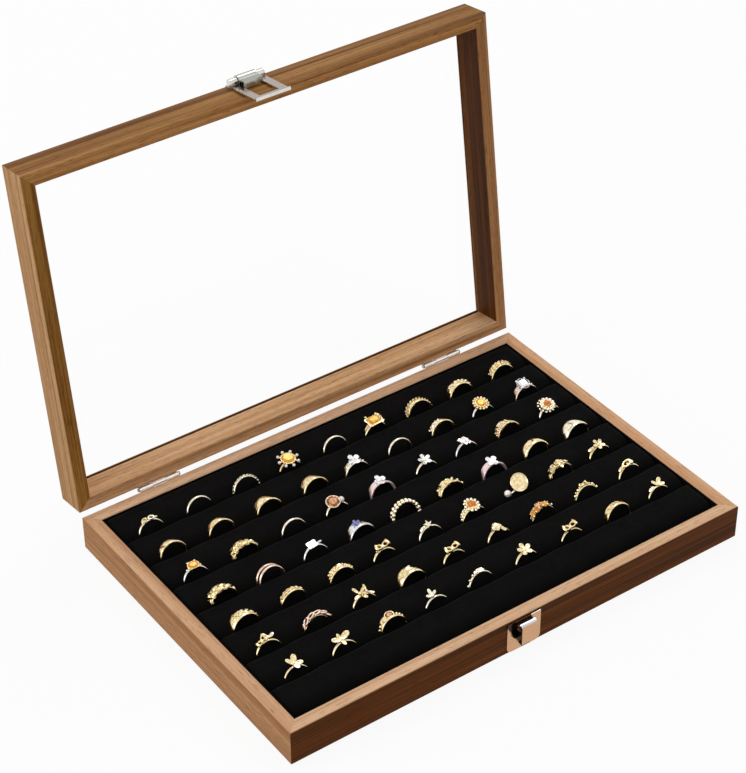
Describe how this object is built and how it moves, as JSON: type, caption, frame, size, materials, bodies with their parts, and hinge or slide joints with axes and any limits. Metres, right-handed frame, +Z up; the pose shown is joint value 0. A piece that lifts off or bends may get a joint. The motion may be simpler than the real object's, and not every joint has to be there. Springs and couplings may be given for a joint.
{
  "type": "ring display box",
  "caption": "Walnut ring display box, open: black velvet rolls holding rows of finger rings, a glazed lid on two stop hinges, and a nickel hasp and turn-down tongue at the front.",
  "frame": {"origin": "centre of the underside of the lower frame", "axes": "+X along the long side to the right, +Y to the hinges, +Z up; the lid stands open at its stops"},
  "size_m": [0.35, 0.3057, 0.2703],
  "materials": {
    "wood": "satin oiled walnut",
    "velvet": "short black velvet pile",
    "ring_gold": "polished gold tone",
    "glass": "clear float glass",
    "nickel": "bright nickel plate",
    "brushed_steel": "plain steel"
  },
  "bodies": {
    "root": {"base_front_rail": "wood", "base_rear_rail": "wood", "base_left_rail": "wood", "base_right_rail": "wood", "base_corner_brads": "brushed_steel", "base_panel": "velvet", "panel_brads": "brushed_steel", "wall_lining": "velvet", "insert_board": "velvet", "ring_roll_1": "velvet", "ring_roll_2": "velvet", "ring_roll_3": "velvet", "ring_roll_4": "velvet", "ring_roll_5": "velvet", "ring_roll_6": "velvet", "ring_roll_7": "velvet", "ring_roll_8": "velvet", "rings_row_1": "ring_gold", "rings_row_2": "ring_gold", "rings_row_3": "ring_gold", "rings_row_4": "ring_gold", "rings_row_5": "ring_gold", "rings_row_6": "ring_gold", "rings_row_7": "ring_gold", "left_hinge_base_leaf": "nickel", "left_hinge_pin": "brushed_steel", "right_hinge_base_leaf": "nickel", "right_hinge_pin": "brushed_steel", "hinge_base_screws": "nickel", "catch_plate": "nickel", "catch_pin": "brushed_steel", "catch_screws": "brushed_steel"},
    "lid": {"lid_front_rail": "wood", "lid_rear_rail": "wood", "lid_left_rail": "wood", "lid_right_rail": "wood", "lid_corner_brads": "brushed_steel", "lid_glass": "glass", "left_hinge_lid_leaf": "nickel", "right_hinge_lid_leaf": "nickel", "hinge_lid_screws": "nickel", "hasp_plate": "nickel", "hasp_screws": "brushed_steel"},
    "hasp_loop": {"hasp_loop": "nickel"},
    "tongue": {"catch_tongue": "nickel"}
  },
  "joints": [
    {"name": "lid_hinge", "type": "hinge", "parent": "root", "child": "lid", "pos_m": [0, 0.1218, 0.0257], "axis": [1, 0, 0], "range_deg": [0, 98]},
    {"name": "hasp_swing", "type": "hinge", "parent": "lid", "child": "hasp_loop", "pos_m": [-0.0025, 0.1748, 0.26627], "axis": [-1, 0, 0], "range_deg": [0, 105]},
    {"name": "tongue_flip", "type": "hinge", "parent": "root", "child": "tongue", "pos_m": [-0.0025, -0.1237, 0.0205], "axis": [-1, 0, 0], "range_deg": [0, 100]}
  ]
}
